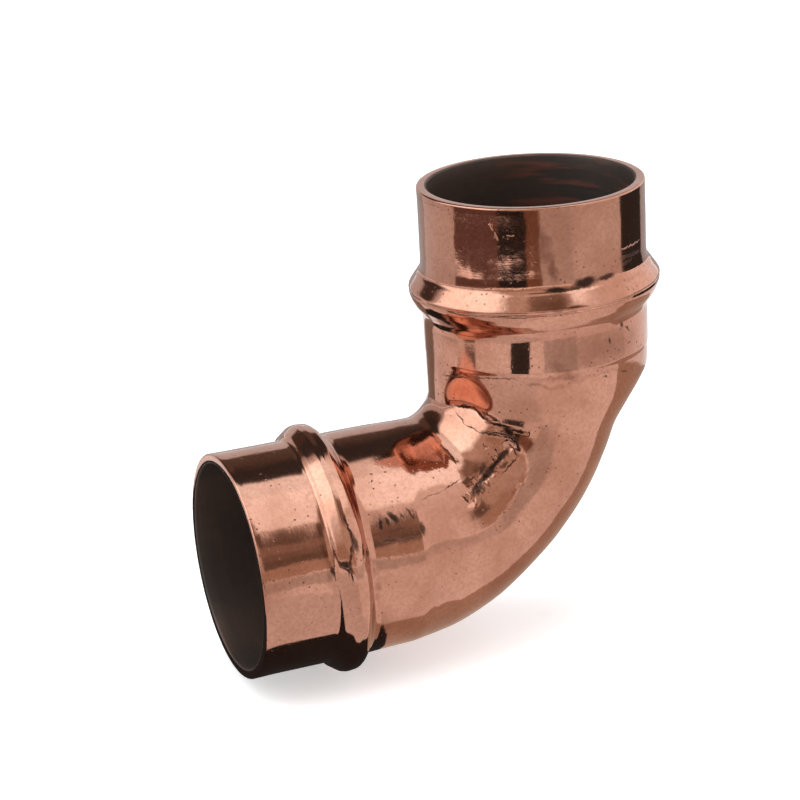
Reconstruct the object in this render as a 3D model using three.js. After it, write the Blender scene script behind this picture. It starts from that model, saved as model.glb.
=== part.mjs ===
// Equal 90 degree elbow for 22 mm copper pipe, with a ring of solder held in each socket.
//
// It is three pieces: one pressed copper tube, whose two ends are widened into sockets with a rolled
// bead round each, and two rings of solder wire, each lying in the groove behind its bead.
//
// Millimetres, +Z up. The side socket's mouth is centred on the origin and faces -X, the upper
// socket's mouth faces +Z, and the elbow is symmetric about the XZ plane.

import * as THREE from "three";

// Sockets
const SOCKET_BORE = 22.1;
const WALL = 1.1;
const SOCKET_DEPTH = 17.7;
const CENTRE_TO_FACE = 36.8;
const RIM_CHAMFER = 0.15;

// Bead rolled round each socket, and the groove behind it. A bead's feet and crest are given by their
// distances from the mouth. It is fuller on the mouth's side of its crest than on the bend's side.
const UPPER_BEAD = { start: 8.5, crest: 11, end: 13.8 };
const SIDE_BEAD = { start: 8.4, crest: 10.4, end: 12.6 };
const BEAD_HEIGHT = 1.4;
const GROOVE_INSET = 0.5;
const MOUTH_SIDE_POWER = 2.6;
const BEND_SIDE_POWER = 1.8;

// Bend. Its back is one large arc, which meets each socket over a shoulder of its own. The arc's
// centre is given from the crossing of the two sockets' axes.
const THROAT_RADIUS = 2.3;
const CUP_END_STEP = 0.8;
const CUP_END_LENGTH = 1.3;
const BEND_NARROWING = 0.5;
const UPPER_SHOULDER = { fromMouth: 20.8, angle: THREE.MathUtils.degToRad(40) };
const SIDE_SHOULDER = { fromMouth: 19, angle: THREE.MathUtils.degToRad(36) };
const BACK_RADIUS = 32;
const BACK_CENTRE_X = -23.3;
const BACK_CENTRE_Z = 19.3;
const CORNER_SOFTNESS = 0.25;
const CENTRING = 0.5;

// Solder rings
const RING_INSET = 0.15;
const RING_HALF_WIDTH = 1;
const RING_DEPTH = 0.7;
const RING_CORNER = 0.35;
const RING_END_GAP = 0.8;

// Fineness of the mesh
const SEGMENTS = 40;
const BEAD_STEPS = 4;
const GROOVE_STEPS = 3;
const SHOULDER_STEPS = 3;
const FAN_STEPS = 8;

const SOCKET_RADIUS = SOCKET_BORE / 2 + WALL;
const THROAT_CENTRE = SOCKET_RADIUS + THROAT_RADIUS;
const FAN_FROM_MOUTH = CENTRE_TO_FACE - THROAT_CENTRE;

// Both arms are laid out as the upper one is, so the side arm sees the back's arc mirrored.
const UPPER_ARM = {
  bead: UPPER_BEAD,
  shoulder: UPPER_SHOULDER,
  backCentre: new THREE.Vector2(BACK_CENTRE_X, BACK_CENTRE_Z),
};
const SIDE_ARM = {
  bead: SIDE_BEAD,
  shoulder: SIDE_SHOULDER,
  backCentre: new THREE.Vector2(-BACK_CENTRE_Z, -BACK_CENTRE_X),
};

const COPPER = { color: 0xc8876a, roughness: 0.22, metalness: 1 };
const SOLDER = { color: 0xb4b2ab, roughness: 0.45, metalness: 1 };

// The smaller of two lengths, with the corner where they cross rounded off.
function softMin(a, b) {
  const low = Math.min(a, b);
  const weight = Math.exp((low - a) / CORNER_SOFTNESS) + Math.exp((low - b) / CORNER_SOFTNESS);
  return low - CORNER_SOFTNESS * Math.log(weight);
}

function softMax(a, b) {
  return -softMin(-a, -b);
}

// Distance from a point to a straight line, along a direction. All are 2-D, in the plane of the bend.
function reachLine(from, direction, linePoint, lineNormal) {
  const closing = direction.dot(lineNormal);
  return linePoint.clone().sub(from).dot(lineNormal) / closing;
}

// Distance from a point inside a circle to the circle, along a direction.
function reachCircle(from, direction, centre, radius) {
  const offset = from.clone().sub(centre);
  const along = offset.dot(direction);
  return Math.sqrt(along * along - offset.lengthSq() + radius * radius) - along;
}

// Distance from a point to an arm's back, which runs straight along the socket, in over the
// shoulder, and then round the large arc. Points are x and z from the crossing of the axes.
function reachBack(arm, from, direction) {
  const { fromMouth, angle } = arm.shoulder;
  const shoulderTop = new THREE.Vector2(SOCKET_RADIUS, CENTRE_TO_FACE - fromMouth);
  const shoulderNormal = new THREE.Vector2(Math.cos(angle), -Math.sin(angle));
  const socket = reachLine(from, direction, shoulderTop, new THREE.Vector2(1, 0));
  const shoulder = reachLine(from, direction, shoulderTop, shoulderNormal);
  const arc = reachCircle(from, direction, arm.backCentre, BACK_RADIUS);
  return softMin(socket, softMax(shoulder, arc));
}

// One cross-section of an arm: a centre in the plane of the bend, the direction
// towards the back, and the half widths towards the back, towards the throat and out of the plane.
function station(centre, direction, back, throat, side) {
  return { centre, direction, back, throat, side };
}

function socketStation(fromMouth, radius) {
  const centre = new THREE.Vector2(0, CENTRE_TO_FACE - fromMouth);
  return station(centre, new THREE.Vector2(1, 0), radius, radius, radius);
}

// Half width out of the plane of the bend. It drops by a small step at the end of the cup, and
// again, gently, towards the middle of the bend.
function sideWidth(fromMouth, angle) {
  const drop = THREE.MathUtils.smoothstep(fromMouth, SOCKET_DEPTH, SOCKET_DEPTH + CUP_END_LENGTH);
  return SOCKET_RADIUS - CUP_END_STEP * drop - BEND_NARROWING * Math.sin(2 * angle);
}

// A station of the bend, with its section plane at an angle about the throat's centre.
function bendStation(arm, fromMouth, angle, inset) {
  const direction = new THREE.Vector2(Math.cos(angle), -Math.sin(angle));
  const height = angle > 0 ? THROAT_CENTRE : CENTRE_TO_FACE - fromMouth;
  const pivot = new THREE.Vector2(-THROAT_CENTRE, height);
  const toBack = reachBack(arm, pivot, direction);
  const middle = (THROAT_RADIUS + toBack) / 2;
  const share = (CENTRING * angle) / (Math.PI / 4);
  const toCentre = THREE.MathUtils.lerp(THROAT_CENTRE, middle, share);
  const centre = pivot.clone().addScaledVector(direction, toCentre);
  const back = toBack - toCentre - inset;
  const throat = toCentre - THROAT_RADIUS - inset;
  return station(centre, direction, back, throat, sideWidth(fromMouth, angle) - inset);
}

// Stations of a bead or a groove: a rounded hump on the socket's wall, with its feet moved in by inset.
// steps is the number of spans on each side of the crest.
function humpStations(bead, radius, inset, steps) {
  const stations = [];
  for (let i = -steps; i <= steps; i += 1) {
    const t = Math.abs(i) / steps;
    const foot = i < 0 ? bead.start + inset : bead.end - inset;
    const power = i < 0 ? MOUTH_SIDE_POWER : BEND_SIDE_POWER;
    const fromMouth = THREE.MathUtils.lerp(bead.crest, foot, t);
    stations.push(socketStation(fromMouth, radius + BEAD_HEIGHT * (1 - Math.pow(t, power))));
  }
  return stations;
}

// Stations from the end of the cup to the middle of the bend.
function bendStations(arm, inset) {
  const stations = [socketStation(SOCKET_DEPTH, SOCKET_RADIUS - inset)];
  const shoulderTop = SOCKET_DEPTH + CUP_END_LENGTH;
  for (let i = 0; i <= SHOULDER_STEPS; i += 1) {
    const fromMouth = THREE.MathUtils.lerp(shoulderTop, FAN_FROM_MOUTH, i / SHOULDER_STEPS);
    stations.push(bendStation(arm, fromMouth, 0, inset));
  }
  for (let i = 1; i <= FAN_STEPS; i += 1) {
    const angle = (Math.PI / 4) * (i / FAN_STEPS);
    stations.push(bendStation(arm, FAN_FROM_MOUTH, angle, inset));
  }
  return stations;
}

function outerStations(arm) {
  const radius = SOCKET_RADIUS;
  return [
    socketStation(0, radius - RIM_CHAMFER),
    socketStation(RIM_CHAMFER, radius),
    ...humpStations(arm.bead, radius, 0, BEAD_STEPS),
    ...bendStations(arm, 0),
  ];
}

function innerStations(arm) {
  const radius = SOCKET_BORE / 2;
  return [
    socketStation(0, radius + RIM_CHAMFER),
    socketStation(RIM_CHAMFER, radius),
    ...humpStations(arm.bead, radius, GROOVE_INSET, GROOVE_STEPS),
    ...bendStations(arm, WALL),
  ];
}

// Points of a station's outline. Each half, back and throat, is half an ellipse.
function ringOf({ centre, direction, back, throat, side }) {
  const points = [];
  for (let i = 0; i < SEGMENTS; i += 1) {
    const turn = (2 * Math.PI * i) / SEGMENTS;
    const reach = Math.cos(turn) * (Math.cos(turn) > 0 ? back : throat);
    const x = centre.x + direction.x * reach;
    const z = centre.y + direction.y * reach;
    points.push(new THREE.Vector3(x, side * Math.sin(turn), z));
  }
  return points;
}

// A ring of the upper arm carried over to the side arm, across the plane that halves the bend.
function mirrored(ring) {
  return ring.map((point) => new THREE.Vector3(-point.z, point.y, -point.x));
}

// All the rings of one surface, from the upper mouth to the side mouth.
function mouthToMouth(stationsOf) {
  const upper = stationsOf(UPPER_ARM).map(ringOf);
  const side = stationsOf(SIDE_ARM).map(ringOf).map(mirrored);
  return [...upper, ...side.slice(0, -1).reverse()];
}

// A closed skin over rings of equal point count. Looped rings join last to first; others are capped.
function skinGeometry(rings, looped) {
  const count = rings[0].length;
  const positions = rings.flat().flatMap((point) => point.toArray());
  const faces = [];
  const spans = looped ? rings.length : rings.length - 1;
  for (let i = 0; i < spans; i += 1) {
    const here = i * count;
    const next = ((i + 1) % rings.length) * count;
    for (let j = 0; j < count; j += 1) {
      const k = (j + 1) % count;
      faces.push(here + j, next + j, next + k, here + j, next + k, here + k);
    }
  }
  if (!looped) {
    const last = (rings.length - 1) * count;
    for (let j = 1; j < count - 1; j += 1) {
      faces.push(0, j, j + 1, last, last + j + 1, last + j);
    }
  }
  const geometry = new THREE.BufferGeometry();
  geometry.setAttribute("position", new THREE.Float32BufferAttribute(positions, 3));
  geometry.setIndex(faces);
  geometry.computeVertexNormals();
  return geometry;
}

function namedMesh(name, geometry, look) {
  const mesh = new THREE.Mesh(geometry, new THREE.MeshStandardMaterial(look));
  mesh.name = name;
  return mesh;
}

function elbowBody() {
  const outside = mouthToMouth(outerStations);
  const inside = mouthToMouth(innerStations).reverse();
  return namedMesh("elbow_body", skinGeometry([...outside, ...inside], true), COPPER);
}

// Section of the solder wire as radius and height, flush with the bore, with its outer corners cut
// to lie inside the groove.
function ringSection() {
  const inner = SOCKET_BORE / 2 + RING_INSET;
  const outer = inner + RING_DEPTH;
  return [
    [inner, -RING_HALF_WIDTH],
    [outer - RING_CORNER, -RING_HALF_WIDTH],
    [outer, RING_CORNER - RING_HALF_WIDTH],
    [outer, RING_HALF_WIDTH - RING_CORNER],
    [outer - RING_CORNER, RING_HALF_WIDTH],
    [inner, RING_HALF_WIDTH],
  ];
}

// A ring of solder wire about the Z axis. The wire's two ends meet with a small gap, on the -X side.
function solderRing(name) {
  const halfGap = RING_END_GAP / SOCKET_BORE;
  const rings = [];
  for (let i = 0; i <= SEGMENTS; i += 1) {
    const share = i / SEGMENTS;
    const turn = THREE.MathUtils.lerp(-Math.PI + halfGap, Math.PI - halfGap, share);
    const around = ([radius, height]) =>
      new THREE.Vector3(radius * Math.cos(turn), radius * Math.sin(turn), height);
    rings.push(ringSection().map(around));
  }
  return namedMesh(name, skinGeometry(rings, false), SOLDER);
}

function elbow() {
  const body = elbowBody();
  const upperSolder = solderRing("upper_solder_ring");
  upperSolder.position.z = CENTRE_TO_FACE - UPPER_BEAD.crest;
  const sideSolder = solderRing("side_solder_ring");
  sideSolder.rotation.y = -Math.PI / 2;
  sideSolder.position.x = SIDE_BEAD.crest - CENTRE_TO_FACE;
  const group = new THREE.Group();
  group.add(body, upperSolder, sideSolder);
  group.position.x = CENTRE_TO_FACE;
  return group;
}

const model = new THREE.Group();
model.add(elbow());

export default model;
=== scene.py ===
"""A copper pipe elbow with solder rings in its sockets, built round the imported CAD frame.

The frame gives the elbow's box. The tube's fine shape is worked out from the same driving sizes as
the CAD tube, in millimetres from the crossing of the two sockets' axes, and is then placed in metres.
"""

import math

import bpy
import numpy as np
from mathutils import Matrix, Vector, noise
from mathutils.bvhtree import BVHTree


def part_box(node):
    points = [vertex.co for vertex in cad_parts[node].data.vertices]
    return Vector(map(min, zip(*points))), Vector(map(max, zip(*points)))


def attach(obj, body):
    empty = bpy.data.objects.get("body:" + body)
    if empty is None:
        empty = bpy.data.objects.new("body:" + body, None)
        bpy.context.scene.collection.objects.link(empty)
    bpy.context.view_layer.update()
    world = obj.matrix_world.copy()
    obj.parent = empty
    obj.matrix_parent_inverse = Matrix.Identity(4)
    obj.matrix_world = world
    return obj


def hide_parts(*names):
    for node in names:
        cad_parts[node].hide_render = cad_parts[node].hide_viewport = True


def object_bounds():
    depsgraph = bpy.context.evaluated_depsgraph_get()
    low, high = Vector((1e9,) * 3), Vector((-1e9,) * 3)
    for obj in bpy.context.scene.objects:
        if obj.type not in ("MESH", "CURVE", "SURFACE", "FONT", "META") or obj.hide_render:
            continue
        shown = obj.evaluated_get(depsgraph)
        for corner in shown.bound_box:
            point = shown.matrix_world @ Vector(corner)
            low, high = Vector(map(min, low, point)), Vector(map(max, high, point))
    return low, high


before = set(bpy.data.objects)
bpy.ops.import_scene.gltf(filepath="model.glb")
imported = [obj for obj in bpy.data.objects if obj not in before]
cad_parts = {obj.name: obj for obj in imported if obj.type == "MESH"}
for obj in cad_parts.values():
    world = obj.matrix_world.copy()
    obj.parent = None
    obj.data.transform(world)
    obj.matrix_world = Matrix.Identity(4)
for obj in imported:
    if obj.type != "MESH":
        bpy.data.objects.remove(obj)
CAD_LOW, CAD_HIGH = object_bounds()

MM = 0.001

# Sizes that the frame gives
_, TUBE_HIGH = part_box("elbow_body")
CENTRE_TO_FACE = TUBE_HIGH.z / MM
BEAD_RADIUS = TUBE_HIGH.y / MM

# Sockets
SOCKET_BORE = 22.1
WALL = 1.1
SOCKET_RADIUS = SOCKET_BORE / 2 + WALL
SOCKET_DEPTH = 17.7
RIM_ROUNDING = 0.2

# Bead round each socket, as distance from the mouth and height: a flat flank towards the mouth, a crisp
# crest, and a softer flank towards the bend. Its lean shifts it along the socket, by up to one length
# in the plane of the bend and up to another across it.
BEAD_HEIGHT = BEAD_RADIUS - SOCKET_RADIUS
UPPER_BEAD = (
    (7.6, 0.0),
    (8.2, 0.03),
    (8.7, 0.1),
    (8.95, 0.2),
    (9.06, 0.34),
    (10.5, 1.32),
    (10.72, BEAD_HEIGHT),
    (10.84, 1.2),
    (11.0, 1.36),
    (11.5, 1.27),
    (12.2, 0.98),
    (12.8, 0.58),
    (13.3, 0.22),
    (13.8, 0.04),
    (14.3, 0.0),
)
UPPER_LEAN = (-0.25, 0.1)
SIDE_BEAD = (
    (8.1, 0.0),
    (8.45, 0.07),
    (8.7, 0.5),
    (9.8, 1.28),
    (10.3, BEAD_HEIGHT),
    (11.2, 1.33),
    (11.7, 1.0),
    (12.05, 0.45),
    (12.4, 0.12),
    (13.0, 0.0),
)
SIDE_LEAN = (0.5, 0.6)
BEAD_SMOOTHING = 0.07
BEAD_ZONE = (7.3, 14.9)
BEAD_ZONE_MARGIN = 0.6
BEAD_TABLE_STEP = 0.01
GROOVE_HALF_WIDTHS = (1.8, 2.1)
GROOVE_HEIGHT = 1.4
GROOVE_POWER = 2.2

# Bend
THROAT_RADIUS = 2.3
THROAT_CENTRE = SOCKET_RADIUS + THROAT_RADIUS
FAN_FROM_MOUTH = CENTRE_TO_FACE - THROAT_CENTRE
CUP_END_STEP = 0.8
BEND_NARROWING = 0.5
BACK_RADIUS = 32.0
BACK_CENTRE = (-23.3, 19.3)
UPPER_ARM = {
    "shoulder": 20.8,
    "angle": math.radians(40),
    "centre": BACK_CENTRE,
    "bead": UPPER_BEAD,
    "lean": UPPER_LEAN,
    "crest": 11.0,
    "crease": (0.2, 0.5),
}
SIDE_ARM = {
    "shoulder": 19.0,
    "angle": math.radians(36),
    "centre": (-BACK_CENTRE[1], -BACK_CENTRE[0]),
    "bead": SIDE_BEAD,
    "lean": SIDE_LEAN,
    "crest": 10.4,
    "crease": (0.12, 1.6),
}
CREASE_ZONE = (SOCKET_DEPTH - 0.1, SOCKET_DEPTH + 0.6)
CORNER_SOFTNESS = 0.25
CENTRING = 0.5

# Mesh fineness: spans round the tube, lengths of step along it in millimetres, and counts of steps
FRONT_SEGMENTS = 136
REAR_SEGMENTS = 80
SEGMENTS = FRONT_SEGMENTS + REAR_SEGMENTS
REAR_TURNS = np.linspace(0, math.pi, REAR_SEGMENTS, endpoint=False)
FRONT_TURNS = np.linspace(math.pi, 2 * math.pi, FRONT_SEGMENTS, endpoint=False)
TURNS = np.concatenate([REAR_TURNS, FRONT_TURNS])
RIM_STEPS = 5
SOCKET_STEP = 0.6
BEAD_STEP = 0.13
CUP_STEP = 0.4
CREASE_STEP = 0.07
SHOULDER_STEP = 0.22
FAN_STEPS = 44
INNER_RIM_STEPS = 4
INNER_SOCKET_STEP = 1.5
GROOVE_STEP = 0.3
INNER_CUP_STEP = 1.0
INNER_SHOULDER_STEP = 0.5
INNER_FAN_STEPS = 14


def soft_min(a, b):
    """The smaller of two lengths, with the corner where they cross rounded off."""
    low = min(a, b)
    weight = math.exp((low - a) / CORNER_SOFTNESS) + math.exp((low - b) / CORNER_SOFTNESS)
    return low - CORNER_SOFTNESS * math.log(weight)


def reach_line(start, direction, point, normal):
    """Distance from start to a straight line, in the plane of the bend."""
    closing = direction[0] * normal[0] + direction[1] * normal[1]
    return ((point[0] - start[0]) * normal[0] + (point[1] - start[1]) * normal[1]) / closing


def reach_circle(start, direction, centre, radius):
    """Distance from start, inside a circle, to the circle."""
    dx, dz = start[0] - centre[0], start[1] - centre[1]
    along = dx * direction[0] + dz * direction[1]
    return math.sqrt(along * along - dx * dx - dz * dz + radius * radius) - along


def reach_back(arm, start, direction):
    """Distance to the elbow's back: along the socket, in over the shoulder, then round the arc."""
    top = (SOCKET_RADIUS, CENTRE_TO_FACE - arm["shoulder"])
    normal = (math.cos(arm["angle"]), -math.sin(arm["angle"]))
    socket = reach_line(start, direction, top, (1.0, 0.0))
    shoulder = reach_line(start, direction, top, normal)
    arc = reach_circle(start, direction, arm["centre"], BACK_RADIUS)
    return soft_min(socket, -soft_min(-shoulder, -arc))


def smooth(value, low, high):
    """0 below low and 1 above high, with a smooth step between them."""
    t = min(max((value - low) / (high - low), 0.0), 1.0)
    return t * t * (3 - 2 * t)


def side_width(arm, from_mouth, angle):
    """Half width across the bend: a sharp crease at the cup's end, then a gentle narrowing."""
    depth, length = arm["crease"]
    crease = depth * smooth(from_mouth, SOCKET_DEPTH, SOCKET_DEPTH + length)
    rest = (CUP_END_STEP - depth) * smooth(from_mouth, SOCKET_DEPTH, FAN_FROM_MOUTH)
    return SOCKET_RADIUS - crease - rest - BEND_NARROWING * math.sin(2 * angle)


def bend_station(arm, from_mouth, angle, inset):
    """A cross-section as (centre x, centre z, direction x, direction z, back, throat, side)."""
    dx, dz = math.cos(angle), -math.sin(angle)
    height = THROAT_CENTRE if angle > 0 else CENTRE_TO_FACE - from_mouth
    pivot = (-THROAT_CENTRE, height)
    to_back = reach_back(arm, pivot, (dx, dz))
    middle = (THROAT_RADIUS + to_back) / 2
    share = CENTRING * angle / (math.pi / 4)
    to_centre = THROAT_CENTRE + (middle - THROAT_CENTRE) * share
    x, z = pivot[0] + dx * to_centre, pivot[1] + dz * to_centre
    back = to_back - to_centre - inset
    throat = to_centre - THROAT_RADIUS - inset
    return (x, z, dx, dz, back, throat, side_width(arm, from_mouth, angle) - inset)


def socket_station(from_mouth, radius):
    return (0.0, CENTRE_TO_FACE - from_mouth, 1.0, 0.0, radius, radius, radius)


def bead_table(profile):
    """The bead's outline with its corners rounded, as distances and heights."""
    depths = np.arange(BEAD_ZONE[0] - 1, BEAD_ZONE[1] + 1, BEAD_TABLE_STEP)
    heights = np.interp(depths, *zip(*profile))
    half = 4 * BEAD_SMOOTHING
    reach = np.arange(-half, half + BEAD_TABLE_STEP / 2, BEAD_TABLE_STEP)
    kernel = np.exp(-((reach / BEAD_SMOOTHING) ** 2) / 2)
    rounded = np.convolve(heights, kernel / kernel.sum(), "same")
    return depths, rounded * BEAD_HEIGHT / rounded.max()


def groove_rise(arm, depth):
    offset = depth - arm["crest"]
    half = GROOVE_HALF_WIDTHS[0] if offset < 0 else GROOVE_HALF_WIDTHS[1]
    t = min(abs(offset) / half, 1.0)
    return GROOVE_HEIGHT * (1 - t**GROOVE_POWER)


def spaced(low, high, step):
    """Evenly spaced values from low up to, but without, high. They are about a step apart."""
    return list(np.linspace(low, high, max(2, round((high - low) / step) + 1)))[:-1]


def outer_stations(arm):
    stations = []
    for turn in np.linspace(0, math.pi / 2, RIM_STEPS):
        depth = RIM_ROUNDING * (1 - math.cos(turn))
        stations.append(socket_station(depth, SOCKET_RADIUS - RIM_ROUNDING * (1 - math.sin(turn))))
    for depth in spaced(RIM_ROUNDING, BEAD_ZONE[0], SOCKET_STEP)[1:] + spaced(*BEAD_ZONE, BEAD_STEP):
        stations.append(socket_station(depth, SOCKET_RADIUS))
    depths = spaced(BEAD_ZONE[1], CREASE_ZONE[0], CUP_STEP) + spaced(*CREASE_ZONE, CREASE_STEP)
    depths += spaced(CREASE_ZONE[1], FAN_FROM_MOUTH, SHOULDER_STEP)
    for depth in depths:
        stations.append(bend_station(arm, depth, 0.0, 0.0))
    for angle in np.linspace(0, math.pi / 4, FAN_STEPS):
        stations.append(bend_station(arm, FAN_FROM_MOUTH, angle, 0.0))
    return stations


def inner_stations(arm):
    bore = SOCKET_BORE / 2
    stations = []
    for turn in np.linspace(0, math.pi / 2, INNER_RIM_STEPS):
        depth = RIM_ROUNDING * (1 - math.cos(turn))
        stations.append(socket_station(depth, bore + RIM_ROUNDING * (1 - math.sin(turn))))
    top, end = arm["crest"] - GROOVE_HALF_WIDTHS[0], arm["crest"] + GROOVE_HALF_WIDTHS[1]
    for depth in spaced(RIM_ROUNDING, top, INNER_SOCKET_STEP)[1:] + spaced(top, end, GROOVE_STEP):
        stations.append(socket_station(depth, bore + groove_rise(arm, depth)))
    depths = spaced(end, SOCKET_DEPTH, INNER_CUP_STEP)
    depths += spaced(SOCKET_DEPTH, FAN_FROM_MOUTH, INNER_SHOULDER_STEP)
    for depth in depths:
        stations.append(bend_station(arm, depth, 0.0, WALL))
    for angle in np.linspace(0, math.pi / 4, INNER_FAN_STEPS):
        stations.append(bend_station(arm, FAN_FROM_MOUTH, angle, WALL))
    return stations


def ring_points(station):
    """Points of a station's outline. Each half, back and throat, is half an ellipse."""
    x, z, dx, dz, back, throat, side = station
    reach = np.cos(TURNS) * np.where(np.cos(TURNS) > 0, back, throat)
    return np.stack([x + dx * reach, side * np.sin(TURNS), z + dz * reach], 1)


def with_bead(arm, ring, table):
    """A socket ring pushed outwards by the bead, which leans a little."""
    depth = CENTRE_TO_FACE - ring[0, 2]
    lean = arm["lean"][0] * np.cos(TURNS) + arm["lean"][1] * np.sin(TURNS)
    rise = np.interp(depth - lean, *table)
    return ring + np.stack([np.cos(TURNS), np.sin(TURNS), np.zeros(SEGMENTS)], 1) * rise[:, None]


def outer_rings(arm):
    table = bead_table(arm["bead"])
    rings = []
    for station in outer_stations(arm):
        ring = ring_points(station)
        from_mouth = CENTRE_TO_FACE - station[1]
        level = station[3] == 0.0
        if level and BEAD_ZONE[0] - BEAD_ZONE_MARGIN < from_mouth < BEAD_ZONE[1] + BEAD_ZONE_MARGIN:
            ring = with_bead(arm, ring, table)
        rings.append(ring)
    return rings


def inner_rings(arm):
    return [ring_points(station) for station in inner_stations(arm)]


def mouth_to_mouth(rings_of):
    """Rings of one surface, from the upper mouth round the bend to the side mouth."""
    mirrored = [np.stack([-r[:, 2], r[:, 1], -r[:, 0]], 1) for r in rings_of(SIDE_ARM)]
    return rings_of(UPPER_ARM) + mirrored[:-1][::-1]


# Wear pressed into the bend. Places are in millimetres from the crossing of the axes.

# A nearly flat facet beside the folds in the throat
FACET_CENTRE = np.array([-10.94, -5.24, 13.27])
FACET_NORMAL = np.array([-0.734, -0.449, 0.51])
FACET_REACH = 3.1
FACET_FLATNESS = 0.7

# Each fold's points
BROW = (
    (-11.4, -3.9, 14.5),
    (-10.4, -5.8, 14.6),
    (-9.9, -6.6, 14.1),
    (-9.3, -7.3, 13.4),
    (-8.2, -8.4, 13.1),
    (-7.4, -9.1, 12.9),
    (-6.1, -9.8, 12.5),
)
UNDER_BROW = (
    (-11.5, -3.9, 13.8),
    (-11.0, -5.4, 12.9),
    (-10.1, -6.9, 12.3),
    (-9.0, -8.0, 12.2),
    (-8.3, -8.6, 12.0),
)
THROAT_EDGE = (
    (-13.7, -4.9, 11.0),
    (-13.2, -6.3, 10.2),
    (-12.9, -7.2, 9.5),
)
CRUMPLE = (
    (-12.9, -9.6, 6.2),
    (-12.2, -9.4, 6.9),
    (-10.3, -9.1, 8.3),
    (-8.9, -9.0, 9.8),
    (-7.8, -9.2, 10.9),
)
BESIDE_CRUMPLE = (
    (-7.4, -9.4, 11.2),
    (-7.1, -9.8, 10.0),
    (-8.5, -9.7, 8.6),
    (-10.2, -9.8, 7.2),
)
# Each fold: its points, depth and half width, how much its depth varies, and whether its line is ragged
FOLDS = (
    (BROW, 0.17, 0.15, 0.3, False),
    (UNDER_BROW, 0.06, 0.13, 0.3, False),
    (THROAT_EDGE, 0.06, 0.2, 0.3, False),
    (CRUMPLE, 0.22, 0.6, 1.5, True),
    (BESIDE_CRUMPLE, 0.07, 0.2, 0.3, False),
)
# Where the bend is pressed in a little: middle, reach and depth
PRESSES = (
    ((-18.5, -3.0, -12.4), 4.2, 0.42),
    ((-4.0, -5.0, -4.5), 4.0, 0.22),
)
UNEVEN_DEPTH = 0.06
# How far from a mouth the unevenness reaches its full depth
EVEN_RIM = 2.0

# Layers of noise, each with its strength, its frequency per millimetre and its offset
UNEVEN_LAYERS = ((1.0, 1 / 5.5, 7.3), (0.5, 2.3 / 5.5, 1.9))
WRINKLE_LAYERS = ((1.0, 1.7, 3.1), (0.7, 3.6, 5.7))
RAGGEDNESS = 0.5
RAGGED_FREQUENCY = 1.3
RAGGED_OFFSETS = (2.7, 6.1, 9.9)


def grid_normals(points):
    """Outward normals of a grid of rings."""
    along = np.gradient(points, axis=0)
    around = np.roll(points, -1, 1) - np.roll(points, 1, 1)
    normals = np.cross(along, around)
    return normals / np.linalg.norm(normals, axis=2, keepdims=True)


def line_distance(points, line):
    """Distance from each point of a grid to a line of straight stretches."""
    nearest = np.full(points.shape[:2], np.inf)
    for start, end in zip(line[:-1], line[1:]):
        start, end = np.array(start), np.array(end)
        axis = end - start
        share = np.clip((points - start) @ axis / (axis @ axis), 0, 1)
        gap = np.linalg.norm(points - start - share[..., None] * axis, axis=2)
        nearest = np.minimum(nearest, gap)
    return nearest


def noise_at(points, frequency, offset):
    flat = points.reshape(-1, 3) * frequency + offset
    values = [noise.noise(Vector(point)) for point in flat]
    return np.array(values).reshape(points.shape[:2])


def layered_noise(points, layers):
    return sum(strength * noise_at(points, frequency, offset) for strength, frequency, offset in layers)


def uneven_depth(points):
    """Slight unevenness all over, which fades out towards the mouths."""
    depth = UNEVEN_DEPTH * np.clip(0.5 - 0.5 * layered_noise(points, UNEVEN_LAYERS), 0, 1)
    from_mouth = np.minimum(CENTRE_TO_FACE - points[..., 2], points[..., 0] + CENTRE_TO_FACE)
    return depth * np.clip(from_mouth / EVEN_RIM, 0, 1)


def press_depth(points):
    depth = np.zeros(points.shape[:2])
    for middle, reach, deep in PRESSES:
        depth += deep * np.exp(-((np.linalg.norm(points - middle, axis=2) / reach) ** 2))
    return depth


def fold_depth(points):
    wrinkles = layered_noise(points, WRINKLE_LAYERS)
    shift = [noise_at(points, RAGGED_FREQUENCY, offset) for offset in RAGGED_OFFSETS]
    shaken = points + RAGGEDNESS * np.stack(shift, 2)
    depth = np.zeros(points.shape[:2])
    for line, deep, half, variation, ragged in FOLDS:
        near = np.exp(-((line_distance(shaken if ragged else points, line) / half) ** 2))
        depth += near * deep * (1 + wrinkles * variation)
    return depth


def flattened(points):
    """The facet beside the folds, pressed towards its plane."""
    offset = points - FACET_CENTRE
    weight = FACET_FLATNESS * np.exp(-((np.linalg.norm(offset, axis=2) / FACET_REACH) ** 4))
    return points - (weight * (offset @ FACET_NORMAL))[..., None] * FACET_NORMAL


def worn(points):
    """The outside with its folds, dents and slight unevenness, which all go inwards."""
    depth = uneven_depth(points) + press_depth(points) + fold_depth(points)
    return flattened(points - grid_normals(points) * depth[..., None])


def mesh_object(name, points, faces, materials, slots=None):
    """A smooth object with its mesh in metres. slots gives each face's place among the materials."""
    mesh = bpy.data.meshes.new(name)
    mesh.from_pydata(points.tolist(), [], faces)
    for material in materials:
        mesh.materials.append(material)
    if slots is not None:
        mesh.polygons.foreach_set("material_index", slots)
    mesh.polygons.foreach_set("use_smooth", [True] * len(mesh.polygons))
    mesh.update()
    obj = bpy.data.objects.new(name, mesh)
    bpy.context.scene.collection.objects.link(obj)
    return obj


def ring_faces(ring_count, around, looped):
    """Four-sided faces between rings of equal point count. Looped rings join last to first."""
    i = np.arange(ring_count if looped else ring_count - 1)[:, None]
    j = np.arange(around)[None, :]
    here, nxt = i * around, ((i + 1) % ring_count) * around
    k = (j + 1) % around
    return np.stack([here + j, nxt + j, nxt + k, here + k], -1).reshape(-1, 4).tolist()


# Materials


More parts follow.
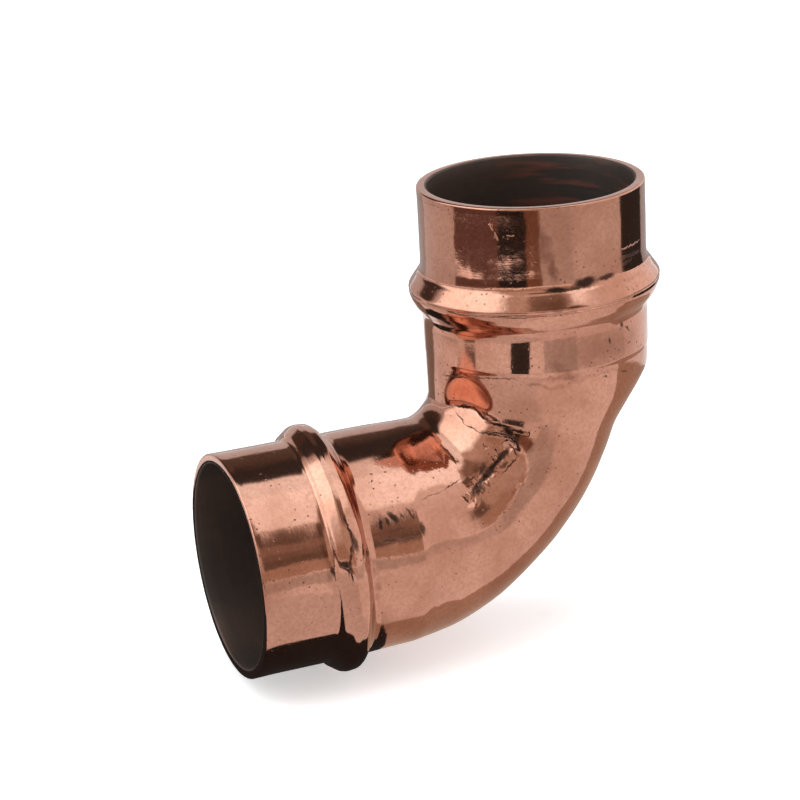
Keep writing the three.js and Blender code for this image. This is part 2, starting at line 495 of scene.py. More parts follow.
class Nodes:
    """Short calls for making the nodes of a material or a world."""

    def __init__(self, tree, place="Object"):
        self.tree = tree
        self.place = self.add("ShaderNodeTexCoord").outputs[place]

    def add(self, kind, **values):
        node = self.tree.nodes.new(kind)
        for key, value in values.items():
            setattr(node, key, value)
        return node

    def feed(self, value, socket):
        if isinstance(value, bpy.types.NodeSocket):
            self.tree.links.new(value, socket)
        else:
            socket.default_value = value

    def math(self, operation, *values):
        node = self.add("ShaderNodeMath", operation=operation)
        for value, socket in zip(values, node.inputs):
            self.feed(value, socket)
        return node.outputs[0]

    def vector(self, operation, *values):
        node = self.add("ShaderNodeVectorMath", operation=operation)
        for value, socket in zip(values, node.inputs):
            self.feed(value, socket)
        return node.outputs

    def parts(self):
        """X, Y and Z of the place."""
        node = self.add("ShaderNodeSeparateXYZ")
        self.feed(self.place, node.inputs[0])
        return node.outputs

    def stretched(self, scale):
        node = self.add("ShaderNodeMapping")
        self.feed(self.place, node.inputs["Vector"])
        node.inputs["Scale"].default_value = scale
        return node.outputs[0]

    def noise_node(self, scale, detail, rough=0.5, source=None):
        node = self.add("ShaderNodeTexNoise")
        self.feed(source or self.place, node.inputs["Vector"])
        node.inputs["Scale"].default_value = scale
        node.inputs["Detail"].default_value = detail
        node.inputs["Roughness"].default_value = rough
        return node

    def noise(self, scale, detail=3.0, rough=0.5, source=None):
        return self.noise_node(scale, detail, rough, source).outputs["Fac"]

    def shaken(self, scale, amount):
        """The place, moved a little this way and that by noise, which makes edges ragged."""
        colour = self.noise_node(scale, 2.0).outputs["Color"]
        centred = self.vector("SUBTRACT", colour, (0.5, 0.5, 0.5))[0]
        return self.vector("MULTIPLY_ADD", centred, (amount, amount, amount), self.place)[0]

    def cells(self, scale):
        node = self.add("ShaderNodeTexVoronoi")
        self.feed(self.place, node.inputs["Vector"])
        node.inputs["Scale"].default_value = scale
        return node.outputs["Distance"]

    def ramp(self, value, low, high, out_low=0.0, out_high=1.0):
        node = self.add("ShaderNodeMapRange", interpolation_type="SMOOTHSTEP")
        self.feed(value, node.inputs["Value"])
        names = ("From Min", "From Max", "To Min", "To Max")
        for name, number in zip(names, (low, high, out_low, out_high)):
            node.inputs[name].default_value = number
        return node.outputs["Result"]

    def mix(self, factor, a, b):
        node = self.add("ShaderNodeMix", data_type="RGBA")
        self.feed(factor, node.inputs["Factor"])
        for value, socket in ((a, node.inputs[6]), (b, node.inputs[7])):
            self.feed(value if isinstance(value, bpy.types.NodeSocket) else (*value, 1.0), socket)
        return node.outputs[2]

    def bump(self, height, distance):
        node = self.add("ShaderNodeBump")
        self.feed(height, node.inputs["Height"])
        node.inputs["Strength"].default_value = 1.0
        node.inputs["Distance"].default_value = distance
        return node.outputs[0]


def new_material(name):
    """A material, with its shader and a maker of nodes."""
    material = bpy.data.materials.new(name)
    material.use_nodes = True
    return material, material.node_tree.nodes["Principled BSDF"], Nodes(material.node_tree)


# Marks on the copper: two ends in millimetres from the crossing of the axes, width and strength.
# Stains are dark and tarnish is brown. The stains along the upper bead's foot, along the line just below the
# upper cup's crease and along the folds in the throat, and the tarnish further along that line, are painted
# shade in those creases. A nick of positive strength stands up, and one of negative strength goes in.
STAINS_AND_CREASE_SHADE = (
    # Painted shade: dark marks along the upper bead's foot on the mouth side, where the bead meets the
    # socket
    ((-3.9, -11.6, 28.1), (-2.0, -12.1, 28.0), 0.7, 0.85),
    ((-0.64, -12.14, 28.4), (1.1, -12.09, 28.5), 1.2, 0.85),
    ((1.94, -12.01, 28.5), (3.6, -11.56, 28.6), 0.7, 0.75),
    ((-2.0, -12.1, 27.9), (-0.4, -12.2, 27.95), 0.28, 0.6),
    # Other marks on the upper socket, its bead and its cup
    ((4.99, -11.08, 29.98), (8.18, -8.98, 29.84), 0.5, 0.75),
    ((5.2, -11.0, 29.3), (6.6, -10.1, 29.4), 0.35, 0.7),
    ((-11.84, 2.74, 36.05), (-11.77, -3.03, 36.2), 0.2, 0.7),
    ((3.0, -11.77, 21.7), (3.1, -11.77, 21.3), 0.4, 0.6),
    ((4.7, -11.2, 23.1), (4.9, -11.1, 22.7), 0.4, 0.65),
    ((5.5, -10.8, 22.4), (5.9, -10.7, 22.0), 0.35, 0.6),
    # Painted shade: dark marks along the line just below the upper cup's crease
    ((4.78, -10.85, 17.7), (5.75, -10.31, 17.14), 0.2, 0.6),
    ((2.4, -11.5, 17.7), (2.8, -11.5, 17.5), 0.25, 0.6),
    ((-11.94, -2.17, 17.6), (-10.4, -5.9, 18.2), 0.25, 0.75),
    ((-10.4, -5.9, 18.3), (-7.15, -9.63, 18.58), 0.22, 0.7),
    # Painted shade: dark marks along the folds pressed into the throat
    ((-11.43, -3.85, 14.51), (-10.43, -5.82, 14.65), 0.34, 0.95),
    ((-10.43, -5.82, 14.65), (-9.33, -7.33, 13.5), 0.38, 0.95),
    ((-9.33, -7.33, 13.4), (-7.36, -9.06, 12.9), 0.34, 0.95),
    ((-7.6, -9.0, 12.95), (-6.12, -9.82, 12.46), 0.32, 0.95),
    ((-7.89, -8.69, 12.89), (-7.42, -9.11, 12.26), 0.75, 0.95),
    ((-11.47, -3.87, 13.85), (-11.02, -5.37, 12.88), 0.15, 0.7),
    ((-11.02, -5.37, 12.88), (-10.11, -6.89, 12.29), 0.17, 0.75),
    ((-10.2, -6.8, 12.3), (-8.32, -8.55, 12.03), 0.2, 0.8),
    ((-13.7, -4.93, 10.99), (-13.18, -6.31, 10.21), 0.22, 0.7),
    ((-13.3, -6.2, 10.3), (-12.91, -7.18, 9.54), 0.26, 0.75),
    ((-12.2, -9.45, 6.78), (-11.4, -9.2, 7.5), 0.9, 0.7),
    ((-11.6, -9.2, 7.4), (-10.34, -9.06, 8.31), 0.6, 0.8),
    ((-10.6, -9.1, 8.0), (-9.7, -9.0, 9.0), 1.0, 0.75),
    ((-9.9, -9.0, 8.9), (-8.87, -9.03, 9.82), 0.6, 0.85),
    ((-8.9, -9.0, 9.8), (-7.95, -9.14, 10.8), 0.8, 0.75),
    ((-10.9, -8.7, 8.6), (-10.5, -8.5, 9.2), 0.7, 0.55),
    ((-8.6, -9.3, 8.9), (-8.2, -9.4, 9.4), 0.5, 0.55),
    ((-13.4, -9.5, 6.6), (-12.88, -9.85, 5.93), 0.3, 0.85),
    ((-7.56, -9.3, 11.0), (-7.13, -9.77, 9.95), 0.22, 0.7),
    ((-7.2, -9.8, 9.9), (-8.9, -9.7, 8.3), 0.24, 0.7),
    # Other marks, on the throat and the side arm
    ((-18.39, -9.6, 7.17), (-15.4, -8.99, 7.48), 0.09, 0.6),
    ((-15.6, -9.0, 7.4), (-13.05, -8.41, 8.17), 0.12, 0.75),
    ((-23.2, -10.4, 6.2), (-23.3, -10.8, 5.5), 0.5, 0.8),
    ((-22.5, -10.4, 6.2), (-22.4, -10.7, 5.7), 0.45, 0.75),
    ((-22.0, -10.2, 6.6), (-21.4, -10.6, 5.9), 0.75, 0.8),
    ((-20.8, -10.3, 6.4), (-20.65, -10.5, 5.95), 0.3, 0.6),
    ((-20.1, -10.1, 6.8), (-19.4, -10.75, 5.6), 0.28, 0.65),
    ((-18.9, -10.9, 5.1), (-18.8, -11.3, 4.2), 0.6, 0.65),
    ((-19.2, -11.4, 4.0), (-21.5, -11.45, 4.0), 0.4, 0.5),
    ((-21.5, -11.4, 4.1), (-23.6, -11.3, 4.3), 0.5, 0.6),
    ((-22.79, -7.5, 9.6), (-22.81, -7.6, 9.5), 0.22, 0.8),
    ((-22.9, -8.2, 9.0), (-22.9, -8.3, 8.9), 0.2, 0.7),
    ((-27.45, -10.7, 8.05), (-26.99, -12.3, 5.2), 0.3, 0.75),
    ((-27.1, -12.2, 5.4), (-27.86, -13.01, 2.12), 0.35, 0.75),
    ((-26.99, -12.02, 6.0), (-26.74, -12.78, 4.46), 0.6, 0.6),
    ((-29.35, -11.85, 2.67), (-29.23, -11.98, 2.03), 0.5, 0.7),
    ((-28.4, -12.5, 2.93), (-27.66, -13.11, 2.34), 0.28, 0.7),
)
TARNISH_AND_CREASE_SHADE = (
    ((-11.3, -8.5, 8.6), (-10.0, -8.5, 9.9), 1.3, 0.4),
    ((-12.2, -9.0, 7.4), (-11.2, -8.7, 8.6), 1.0, 0.4),
    ((-4.54, -11.27, 34.7), (-3.25, -11.71, 32.5), 1.2, 0.25),
    ((-4.3, -11.4, 33.8), (-3.9, -11.5, 31.0), 1.3, 0.35),
    ((-3.4, -11.6, 31.8), (-3.0, -11.7, 28.9), 1.1, 0.45),
    ((-5.4, -12.3, 26.9), (-1.3, -13.2, 26.9), 1.5, 0.35),
    ((-5.0, -12.4, 26.2), (-2.0, -13.3, 26.1), 0.7, 0.35),
    ((-2.6, -11.8, 20.6), (6.0, -10.3, 20.8), 4.6, 0.25),
    ((-3.67, -11.58, 20.2), (-0.82, -11.73, 17.9), 1.3, 0.3),
    # Painted shade: brown marks carrying the line just below the upper cup's crease round the front
    ((-7.15, -9.63, 18.5), (-3.37, -11.23, 17.3), 0.5, 0.35),
    ((-3.4, -11.2, 17.3), (2.0, -11.74, 18.3), 0.7, 0.3),
    ((2.0, -11.74, 18.3), (6.5, -9.8, 17.4), 0.6, 0.3),
    ((-4.6, -11.2, 18.4), (-0.6, -11.8, 18.4), 1.0, 0.3),
    # Other brown marks, on the bend and the side arm
    ((-5.59, -10.11, 11.78), (-5.93, -10.19, 10.08), 0.5, 0.2),
    ((-5.93, -10.19, 10.08), (-7.06, -10.39, 7.44), 0.45, 0.15),
    ((-7.06, -10.39, 7.44), (-8.58, -10.5, 5.51), 0.4, 0.2),
    ((-5.17, -10.51, 9.36), (-7.89, -10.53, 5.84), 0.28, 0.25),
    ((3.0, -11.9, 27.6), (8.0, -9.6, 27.4), 0.8, 0.15),
    ((-29.9, -10.6, 5.8), (-29.4, -12.1, 0.4), 1.0, 0.3),
    ((-29.9, -7.2, 9.7), (-29.9, -10.6, 5.8), 0.7, 0.3),
    ((-24.6, -11.9, 2.4), (-24.6, -11.9, -2.4), 0.8, 0.3),
    ((-23.8, -11.0, 5.4), (-20.4, -11.0, 5.5), 1.8, 0.3),
)
NICKS = (
    ((-8.7, -8.5, 35.2), (-8.4, -8.8, 34.6), 0.35, 1.0),
    ((-8.3, -8.9, 34.2), (-8.0, -9.1, 33.5), 0.3, -1.0),
    ((-7.3, -9.7, 34.0), (-6.6, -10.2, 34.0), 0.16, 1.0),
    ((4.73, -11.19, 30.91), (8.4, -8.8, 30.95), 0.26, -1.0),
    ((-12.6, -9.7, 6.2), (-12.2, -9.6, 6.6), 0.35, 1.0),
    ((-10.07, -7.71, 10.97), (-9.7, -8.1, 10.9), 0.5, -1.0),
)
# How the marks' edges are shaken by noise: its frequency per metre and how far it moves them
FINE_SHAKE = (2200.0, 0.45 * MM)
COARSE_SHAKE = (900.0, 1.3 * MM)
DARKENING = 1.6
MARK_END = 1.25
MARK_THICKNESS = 0.35
STAIN_AND_SHADE_CORE = 0.45
TARNISH_AND_SHADE_CORE = 0.2
NICK_CORE = 0.2

COPPER = (0.61, 0.295, 0.207)
DULL_COPPER = (0.48, 0.213, 0.142)
GRAIN_COLOUR = (0.36, 0.15, 0.09)
TARNISH_AND_SHADE_COLOUR = (0.17, 0.055, 0.03)
SPOT_COLOUR = (0.12, 0.04, 0.025)
STAIN_AND_SHADE_COLOUR = (0.025, 0.012, 0.009)
COPPER_ROUGHNESS = (0.07, 0.13)
STAIN_AND_SHADE_ROUGHNESS = 0.3

# Frequencies of the copper's patterns, per metre
PATCHES = 140.0
GRAIN = 2600.0
SPOTS = 1500.0
SPOT_CROWDS = 230.0
DIMPLES = 850.0
DIMPLE_PATCHES = 170.0
DRAWN_LINES = 5200.0

# Heights of the copper's relief, in thousandths of a millimetre
DIMPLE_HEIGHT = 16.0
GRAIN_HEIGHT = 1.2
LINE_HEIGHT = 1.5
SPOT_HEIGHT = 12.0
NICK_HEIGHT = 45.0

# Lines drawn round each socket, and where in the frame they fade in, in metres
ROUND_UPPER = (0.03, 0.03, 1.0)
ROUND_SIDE = (1.0, 0.03, 0.03)
UPPER_FADE = (0.017, 0.02)
SIDE_FADE = (0.02, 0.017)


class Marks:
    """Stains, tarnish and nicks laid on the tube's skin, each at its own place. Some stains and tarnish are
    painted shade along creases and folds.
    """

    def __init__(self, n, skin):
        self.n = n
        self.skin = skin
        self.fine = n.shaken(*FINE_SHAKE)
        self.coarse = n.shaken(*COARSE_SHAKE)

    def snapped(self, point):
        """The nearest point of the tube's skin, and its normal there."""
        place, normal, _, _ = self.skin.find_nearest(Vector(to_frame(np.array(point))))
        return place, normal

    def distance(self, source, start, end, width):
        """Distance from a mark's middle, with 1 at its edge. A mark is as long as its two ends say."""
        (a, normal_a), (b, normal_b) = self.snapped(start), self.snapped(end)
        along = (b - a).normalized()
        across = (normal_a + normal_b).cross(along).normalized()
        turn = Matrix((along, across, along.cross(across))).transposed()
        wide = width * MM / 2
        node = self.n.add("ShaderNodeMapping", vector_type="TEXTURE")
        self.n.feed(source, node.inputs["Vector"])
        node.inputs["Location"].default_value = (a + b) / 2
        node.inputs["Rotation"].default_value = turn.to_euler()
        thick = max(wide, MARK_THICKNESS * MM)
        node.inputs["Scale"].default_value = ((b - a).length / 2 + wide, wide, thick)
        return self.n.vector("LENGTH", node.outputs[0])["Value"]

    def covered(self, source, marks, core):
        """What share of the clean copper a list of marks hides. Each is at its full strength in its core."""
        n = self.n
        clean = 1.0
        for start, end, width, strength in marks:
            distance = self.distance(source, start, end, width)
            left = n.ramp(distance, core, MARK_END, 1.0 - strength, 1.0)
            clean = n.math("MULTIPLY", clean, left)
        return n.math("SUBTRACT", 1.0, n.math("POWER", clean, DARKENING))


def copper_relief(n, marks, grain, spots):
    """Height in thousandths of a millimetre: dimples, grain, drawn lines in the sockets, pits and nicks."""
    patchy = n.ramp(n.noise(DIMPLE_PATCHES, 2.0), 0.42, 0.62)
    dimples = n.math("MULTIPLY", n.noise(DIMPLES, 3.0, 0.55), patchy)
    height = n.math("MULTIPLY", dimples, DIMPLE_HEIGHT)
    height = n.math("ADD", height, n.math("MULTIPLY", grain, GRAIN_HEIGHT))
    x, _, z = n.parts()
    in_upper, in_side = n.ramp(z, *UPPER_FADE), n.ramp(x, *SIDE_FADE)
    for zone, stretch in ((in_upper, ROUND_UPPER), (in_side, ROUND_SIDE)):
        lines = n.math("MULTIPLY", n.noise(DRAWN_LINES, 2.0, 0.5, n.stretched(stretch)), zone)
        height = n.math("ADD", height, n.math("MULTIPLY", lines, LINE_HEIGHT))
    height = n.math("SUBTRACT", height, n.math("MULTIPLY", spots, SPOT_HEIGHT))
    for start, end, width, strength in NICKS:
        distance = marks.distance(marks.fine, start, end, width)
        height = n.math("ADD", height, n.ramp(distance, NICK_CORE, 1.0, NICK_HEIGHT * strength, 0.0))
    return height


def copper_material(skin):
    material, shader, n = new_material("polished_copper")
    marks = Marks(n, skin)
    patches = n.noise(PATCHES, 5.0, 0.6)
    grain = n.noise(GRAIN, 2.0, 0.6)
    dots = n.ramp(n.cells(SPOTS), 0.1, 0.2, 1.0, 0.0)
    crowded = n.ramp(n.noise(SPOT_CROWDS, 3.0, 0.6), 0.46, 0.62)
    spots = n.math("MULTIPLY", dots, crowded)
    # Tarnish, with painted shade along the line just below the upper cup's crease
    tarnish_and_shade = marks.covered(marks.coarse, TARNISH_AND_CREASE_SHADE, TARNISH_AND_SHADE_CORE)
    # Stains, with painted shade along the upper bead's foot, the cup's crease and the folds in the throat
    stain_and_shade = marks.covered(marks.fine, STAINS_AND_CREASE_SHADE, STAIN_AND_SHADE_CORE)

    colour = n.mix(n.ramp(patches, 0.35, 0.68), COPPER, DULL_COPPER)
    colour = n.mix(n.ramp(grain, 0.35, 0.7, 0.0, 0.35), colour, GRAIN_COLOUR)
    # Brown tarnish colour, which just below the upper cup's crease is painted shade
    colour = n.mix(tarnish_and_shade, colour, TARNISH_AND_SHADE_COLOUR)
    colour = n.mix(n.math("MULTIPLY", spots, 0.8), colour, SPOT_COLOUR)
    # Near-black stain colour, which along the bead's foot, the crease and the folds is painted shade
    colour = n.mix(stain_and_shade, colour, STAIN_AND_SHADE_COLOUR)
    n.feed(colour, shader.inputs["Base Color"])

    rough = n.ramp(patches, 0.3, 0.75, *COPPER_ROUGHNESS)
    rough = n.math("ADD", rough, n.math("MULTIPLY", stain_and_shade, STAIN_AND_SHADE_ROUGHNESS))
    n.feed(rough, shader.inputs["Roughness"])
    shader.inputs["Metallic"].default_value = 1.0
    height = copper_relief(n, marks, grain, spots)
    n.feed(n.bump(height, MM / 1000), shader.inputs["Normal"])
    return material


# Dull oxide inside the tube, with streaks round each socket, and redder streaks on the back of the
# upper one. A fade is where in the frame one look gives way to another, in metres.
OXIDE = (0.055, 0.038, 0.03)
LIGHT_OXIDE = (0.09, 0.055, 0.042)
STREAK_COLOUR = (0.13, 0.06, 0.045)
RED_STREAK_COLOUR = (0.2, 0.06, 0.045)
STREAKS = 900.0
STREAKS_ROUND_UPPER = (0.12, 0.12, 1.0)
STREAKS_ROUND_SIDE = (1.0, 0.12, 0.12)
STREAK_FADE = (0.012, 0.02)
RED_FADE_UP = (0.028, 0.03)
RED_FADE_BACK = (0.036, 0.042)
STREAK_HEIGHT = 0.03 * MM


def bore_material():
    material, shader, n = new_material("oxidised_bore")
    x, _, z = n.parts()
    patches = n.noise(120.0, 4.0, 0.6)
    upper = n.noise(STREAKS, 3.0, 0.6, n.stretched(STREAKS_ROUND_UPPER))
    side = n.noise(STREAKS, 3.0, 0.6, n.stretched(STREAKS_ROUND_SIDE))
    streaks = n.mix(n.ramp(z, *STREAK_FADE), side, upper)
    on_back = n.math("MULTIPLY", n.ramp(z, *RED_FADE_UP), n.ramp(x, *RED_FADE_BACK))
    reddened = n.math("MULTIPLY", on_back, n.ramp(streaks, 0.5, 0.72))

    colour = n.mix(n.ramp(patches, 0.35, 0.7), OXIDE, LIGHT_OXIDE)
    colour = n.mix(reddened, colour, RED_STREAK_COLOUR)
    colour = n.mix(n.ramp(streaks, 0.5, 0.75, 0.0, 0.4), colour, STREAK_COLOUR)
    n.feed(colour, shader.inputs["Base Color"])
    n.feed(n.ramp(patches, 0.3, 0.7, 0.6, 0.45), shader.inputs["Roughness"])
    shader.inputs["Metallic"].default_value = 0.5
    n.feed(n.bump(streaks, STREAK_HEIGHT), shader.inputs["Normal"])
    return material


LIGHT_SOLDER = (0.62, 0.61, 0.58)
DULL_SOLDER = (0.42, 0.41, 0.39)
SOLDER_HEIGHT = 0.02 * MM


def solder_material():
    material, shader, n = new_material("tin_solder")
    patches = n.noise(400.0, 4.0, 0.6)
    n.feed(n.mix(n.ramp(patches, 0.3, 0.7), LIGHT_SOLDER, DULL_SOLDER), shader.inputs["Base Color"])
    n.feed(n.ramp(patches, 0.3, 0.7, 0.35, 0.55), shader.inputs["Roughness"])
    shader.inputs["Metallic"].default_value = 1.0
    n.feed(n.bump(n.noise(900.0, 3.0), SOLDER_HEIGHT), shader.inputs["Normal"])
    return material


# The elbow


def to_frame(points):
    """Millimetres from the crossing of the axes to metres in the frame."""
    return (points + np.array([CENTRE_TO_FACE, 0.0, 0.0])) * MM


def make_tube():
    outside = list(worn(np.array(mouth_to_mouth(outer_rings))))
    inside = mouth_to_mouth(inner_rings)[::-1]
    rings = outside + inside
    points = to_frame(np.concatenate(rings))
    faces = ring_faces(len(rings), SEGMENTS, True)
    in_bore = np.repeat([0] * len(outside) + [1] * len(inside), SEGMENTS)
    in_bore[(len(outside) - 1) * SEGMENTS : len(outside) * SEGMENTS] = 0
    in_bore[-SEGMENTS:] = 0
    skin = BVHTree.FromPolygons(points.tolist(), faces)
    return mesh_object("elbow", points, faces, [copper_material(skin), bore_material()], in_bore)


# Solder rings

RING_STEPS = 180
RING_INSET = 0.15
RING_DEPTH = 0.7
RING_INNER = SOCKET_BORE / 2 + RING_INSET
RING_OUTER = RING_INNER + RING_DEPTH
RING_HALF_WIDTH = 1.0
RING_CORNER = 0.35
RING_INNER_CORNER = 0.12
RING_END_GAP = 0.8


def ring_section():
    """Rounded section of the solder wire, as radius and height, seen with the axis on its left."""
    outer, inner = RING_OUTER - RING_CORNER, RING_INNER + RING_INNER_CORNER
    corners = (
        (outer, -1, -90, RING_CORNER, 7),
        (outer, 1, 0, RING_CORNER, 7),
        (inner, 1, 90, RING_INNER_CORNER, 5),
        (inner, -1, 180, RING_INNER_CORNER, 5),
    )
    points = []
    for radius, side, start, corner, count in corners:
        for turn in np.radians(np.linspace(start, start + 90, count)):
            height = side * (RING_HALF_WIDTH - corner)
            points.append((radius + corner * math.cos(turn), height + corner * math.sin(turn)))
    return np.array(points)


def make_solder_ring(name, upright, from_mouth):
    """A ring about the upper or the side socket's axis, with a gap between the wire's two ends."""
    section = ring_section()
    radii, heights = section[:, 0], section[:, 1] + CENTRE_TO_FACE - from_mouth
    half_gap = RING_END_GAP / SOCKET_BORE
    turns = np.linspace(-math.pi + half_gap, math.pi - half_gap, RING_STEPS + 1)
    rings = [np.stack([radii * math.cos(turn), radii * math.sin(turn), heights], 1) for turn in turns]
    points = np.concatenate(rings)
    if not upright:
        points = np.stack([-points[:, 2], points[:, 1], points[:, 0]], 1)
    around = len(section)
    faces = ring_faces(len(rings), around, False)
    faces.append(list(range(around)))
    faces.append(list(range(len(points) - 1, len(points) - 1 - around, -1)))
    return mesh_object(name, to_frame(points), faces, [SOLDER])


tube = make_tube()
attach(tube, "root")
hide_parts("elbow_body")

SOLDER = solder_material()
for ring_name, node, upright, from_mouth in (
    ("upper_ring", "upper_solder_ring", True, UPPER_ARM["crest"]),
    ("side_ring", "side_solder_ring", False, SIDE_ARM["crest"]),
):
    ring = make_solder_ring(ring_name, upright, from_mouth)
    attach(ring, "root")
    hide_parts(node)


# Stage: a floor, a white backdrop, glowing sheets on the floor that give painted light and shadow in
# reflections, and the room that the copper reflects

LIGHT = 1.45
COOL = (1.0, 1.14, 1.2)
PLAIN = (1.0, 1.0, 1.0)
WARM = (1.0, 0.8, 0.65)
DUSKY = (1.0, 0.9, 0.82)
RED = (1.0, 0.66, 0.58)
BROWN = (1.0, 0.58, 0.38)

FLOOR_REACH = 4.0
FLOOR_COLOUR = (0.93, 0.89, 0.88)
FLOOR_ROUGHNESS = 0.6
FLOOR_GLOW = 0.42


def make_floor():
    material, shader, _ = new_material("paper")
    shader.inputs["Base Color"].default_value = (*FLOOR_COLOUR, 1.0)
    shader.inputs["Roughness"].default_value = FLOOR_ROUGHNESS
    shader.inputs["Emission Color"].default_value = (*PLAIN, 1.0)
    shader.inputs["Emission Strength"].default_value = FLOOR_GLOW
    corners = [(-1, -1), (1, -1), (1, 1), (-1, 1)]
    points = np.array([(x * FLOOR_REACH, y * FLOOR_REACH, CAD_LOW.z) for x, y in corners])
    mesh_object("floor", points, [(0, 1, 2, 3)], [material])


def glow_material(name, colour, strength):
    material, shader, _ = new_material(name)
    shader.inputs["Base Color"].default_value = (0.0, 0.0, 0.0, 1.0)
    shader.inputs["Specular IOR Level"].default_value = 0.0
    shader.inputs["Emission Color"].default_value = (*colour, 1.0)
    shader.inputs["Emission Strength"].default_value = strength
    return material


DOME_RADIUS = 1.9
DOME_DROP = 0.05
DOME_TURNS = 64
DOME_RINGS = 16
DOME_TOP = math.pi / 2 - 0.02


def make_backdrop():
    """A plain white dome behind everything. Only the camera sees it."""
    turns = np.linspace(0, 2 * math.pi, DOME_TURNS, endpoint=False)
    rings = []
    for rise in np.linspace(0, DOME_TOP, DOME_RINGS):
        level = np.full(DOME_TURNS, math.sin(rise))
        rings.append(np.stack([np.cos(turns) * math.cos(rise), np.sin(turns) * math.cos(rise), level], 1))
    points = np.concatenate(rings) * DOME_RADIUS + np.array([0.0, 0.0, CAD_LOW.z - DOME_DROP])
    faces = ring_faces(len(rings), DOME_TURNS, False)
    dome = mesh_object("backdrop", points, faces, [glow_material("backdrop_white", PLAIN, 1.0)])
    dome.visible_diffuse = False
    dome.visible_glossy = False
    dome.visible_shadow = False


RING_CARD_STEPS = 48
CARD_STEP = 0.02
FAR = 900


def sector(turn, radii, ragged=0.0):
    """Outline and faces of a sector of a ring round the upper socket's axis. Its turn is in degrees
    anticlockwise from +X, its radii are in millimetres, and its inner edge may be ragged.
    """
    turns = np.radians(np.linspace(turn[0], turn[1], RING_CARD_STEPS))
    arc = np.stack([np.cos(turns), np.sin(turns)], 1)
    tear = [ragged * noise.noise(Vector((9 * t, 4 * t, 1.5))) for t in turns]
    edge = np.concatenate([arc * (radii[0] + np.array(tear))[:, None], arc[::-1] * radii[1]])
    last = 2 * RING_CARD_STEPS - 1
    faces = [(i, last - i, last - 1 - i, i + 1) for i in range(RING_CARD_STEPS - 1)]
    return edge, faces


def rectangle(low, high):
    return np.array([low, (high[0], low[1]), high, (low[0], high[1])]), [(0, 1, 2, 3)]


# Glowing sheets lying on the floor, each on top of the ones before it: name, shape, strength and tint. They
# show only in reflections, as painted light and shade of the floor and the room round it; the last three are
# painted shadow of the elbow on the floor.
CARDS = (
    ("table_near", sector((-180, 180), (1, 135)), 0.7, PLAIN),
    ("table_front", sector((-108, -75), (84, FAR), 8.0), 0.48, PLAIN),
    ("table_middle", sector((-75, -18), (98, 152), 6.0), 0.6, PLAIN),
    ("table_right", sector((-75, -18), (152, FAR)), 0.55, PLAIN),
    ("table_left", sector((110, 163), (120, FAR)), 0.5, PLAIN),
    ("table_back", sector((24, 110), (130, FAR)), 0.33, PLAIN),
    ("table_socket", rectangle((-90, -75), (-20, 0)), 0.58, PLAIN),
    ("flag_left", sector((163, 212), (152, FAR), 12.0), 0.12, RED),
    ("flag_front", sector((-148, -121), (150, FAR), 10.0), 0.02, PLAIN),
    ("flag_near", sector((-139, -122), (88, 143), 8.0), 0.03, PLAIN),
    ("flag_slit", sector((172, 184), (80, 122), 6.0), 0.1, WARM),
    ("flag_brown", sector((-121, -107), (146, FAR), 12.0), 0.17, BROWN),
    ("flag_right", sector((-18, 24), (132, FAR), 6.0), 0.03, PLAIN),
    ("flag_far", sector((92, 120), (60, 125)), 0.2, WARM),
    # Painted shadow: dim sheets where the elbow shades the floor behind it and under it, seen only in
    # reflections
    ("shadow_behind_elbow", sector((-26, 60), (20, 78)), 0.36, WARM),
    ("shadow_under_bend", rectangle((-22.5, -12.8), (30, 45)), 0.38, WARM),
    ("shadow_under_socket", rectangle((-60, -13.4), (-21, 60)), 0.02, PLAIN),
)


def make_card(name, edge, faces, height, strength, tint):
    """A sheet that shows only in reflections. height is in millimetres above the floor."""
    z = np.full(len(edge), CAD_LOW.z / MM + height)
    points = to_frame(np.column_stack([edge, z]))
    sheet = mesh_object(name, points, faces, [glow_material(name, tint, strength * LIGHT)])
    sheet.visible_camera = False
    sheet.visible_diffuse = False
    sheet.visible_shadow = False


SKY_BASE = (0.5, 0.5, 0.5)
# Each part of the room: azimuth from and to, elevation from and to, softness, strength, tint
SKY = (
    ((-67, -18), (-30, 80), (6, 10), 0.76, PLAIN),
    ((-32, 42), (-10, 80), (40, 14), 0.82, PLAIN),
    ((-180, 180), (62, 95), (1, 14), 1.0, COOL),
    ((-70, -8), (47, 80), (10, 3), 1.15, COOL),
    ((-150, -72), (6, 62), (8, 10), 0.52, DUSKY),
    ((-150, -92), (-30, 10), (16, 6), 0.46, DUSKY),
    ((-125, -78), (38, 60), (12, 8), 0.24, WARM),
    ((-92, -68), (-8, 12), (4, 6), 0.42, WARM),
    ((-80, -66), (11.5, 47), (4, 2.5), 0.14, WARM),
    ((-80, -66), (19, 32.8), (4, 1.5), 0.2, WARM),
    ((-80, -66), (25, 32.8), (4, 1.5), 0.28, WARM),
    ((-168, -108), (-30, 12), (16, 6), 0.4, WARM),
    ((138, 210), (6, 80), (10, 10), 0.95, COOL),
    ((140, 203), (9, 60), (5, 6), 1.3, COOL),
    ((144, 200), (26, 60), (12, 10), 1.6, COOL),
    ((44, 131), (24, 70), (6, 6), 0.04, PLAIN),
    ((92, 131), (13, 32), (6, 5), 0.06, WARM),
    ((66, 92), (25, 52), (8, 8), 0.1, WARM),
)


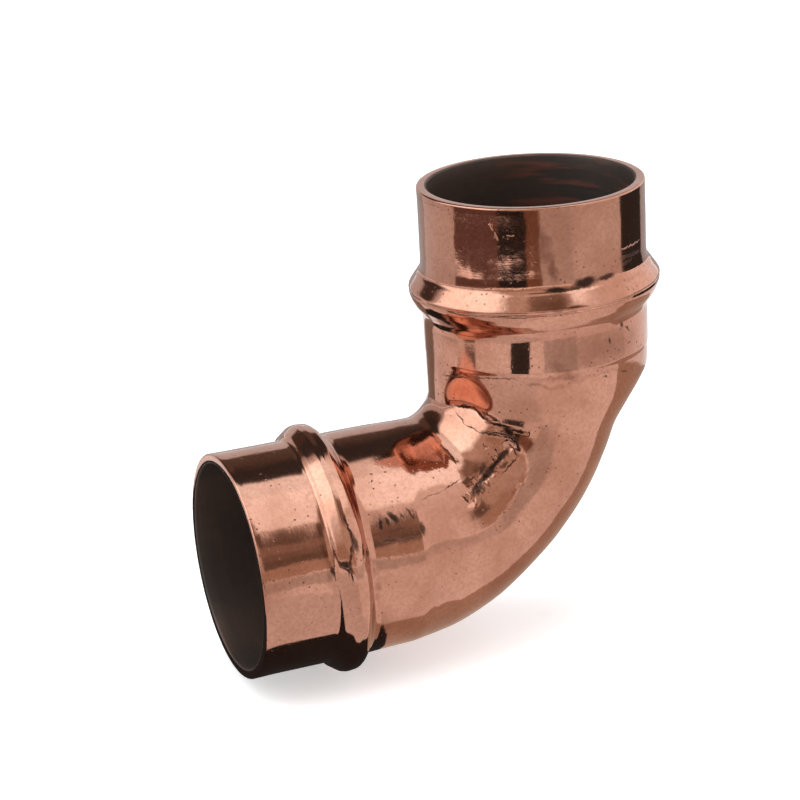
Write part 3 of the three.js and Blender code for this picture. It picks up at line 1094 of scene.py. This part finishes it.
def sky_world():
    """The room as patches of light with soft edges. Each row of SKY covers the ones before it."""
    world = bpy.data.worlds.new("studio")
    world.use_nodes = True
    n = Nodes(world.node_tree, "Generated")
    x, y, z = n.parts()
    azimuth = n.math("DEGREES", n.math("ARCTAN2", y, x))
    elevation = n.math("DEGREES", n.math("ARCSINE", z))

    def within(distance, half, soft):
        return n.ramp(distance, half + soft / 2, half - soft / 2)

    colour = SKY_BASE
    for (west, east), (low, high), (soft_sides, soft_ends), strength, tint in SKY:
        turned = n.math("SUBTRACT", azimuth, (west + east) / 2)
        across = n.math("ABSOLUTE", n.math("WRAP", turned, 180.0, -180.0))
        above = n.math("ABSOLUTE", n.math("SUBTRACT", elevation, (low + high) / 2))
        in_width = within(across, (east - west) / 2, soft_sides)
        in_height = within(above, (high - low) / 2, soft_ends)
        inside = n.math("MULTIPLY", in_width, in_height)
        colour = n.mix(inside, colour, tuple(strength * part for part in tint))
    background = world.node_tree.nodes["Background"]
    n.feed(colour, background.inputs["Color"])
    background.inputs["Strength"].default_value = LIGHT
    bpy.context.scene.world = world


LAMP_SIZE = 1.2
LAMP_POWER = 3.0
LAMP_PLACE = (-0.2, -0.1, 1.0)


def make_lamp():
    """A large soft light overhead, which the copper doesn't reflect."""
    data = bpy.data.lights.new("overhead", "AREA")
    data.shape = "DISK"
    data.size = LAMP_SIZE
    data.energy = LAMP_POWER
    lamp = bpy.data.objects.new("overhead", data)
    lamp.location = LAMP_PLACE
    lamp.visible_glossy = False
    bpy.context.scene.collection.objects.link(lamp)


make_floor()
make_backdrop()
for layer, (name, (edge, faces), strength, tint) in enumerate(CARDS, 1):
    make_card(name, edge, faces, CARD_STEP * layer, strength, tint)
make_lamp()
sky_world()
bpy.context.scene.view_settings.view_transform = "Standard"


# Camera: its target and distance in millimetres, its turns in radians

CAMERA_TARGET = (-16.2, 0.0, 14.95)
CAMERA_DISTANCE = 256.2
CAMERA_TURN = 0.3695
CAMERA_RISE = 0.335
CAMERA_ROLL = -0.0577
LENS = 108.0
SENSOR = 36.0
CLIP_START = 0.01
CLIP_END = 20.0


def make_camera():
    data = bpy.data.cameras.new("camera")
    data.lens = LENS
    data.sensor_width = SENSOR
    data.clip_start = CLIP_START
    data.clip_end = CLIP_END
    level = math.cos(CAMERA_RISE)
    back = Vector((-math.sin(CAMERA_TURN) * level, -math.cos(CAMERA_TURN) * level, math.sin(CAMERA_RISE)))
    look = (-back).to_track_quat("-Z", "Y").to_matrix()
    camera = bpy.data.objects.new("camera", data)
    camera.location = Vector(to_frame(np.array(CAMERA_TARGET))) + back * CAMERA_DISTANCE * MM
    camera.rotation_euler = (look @ Matrix.Rotation(CAMERA_ROLL, 3, "Z")).to_euler()
    bpy.context.scene.collection.objects.link(camera)
    bpy.context.scene.camera = camera


make_camera()
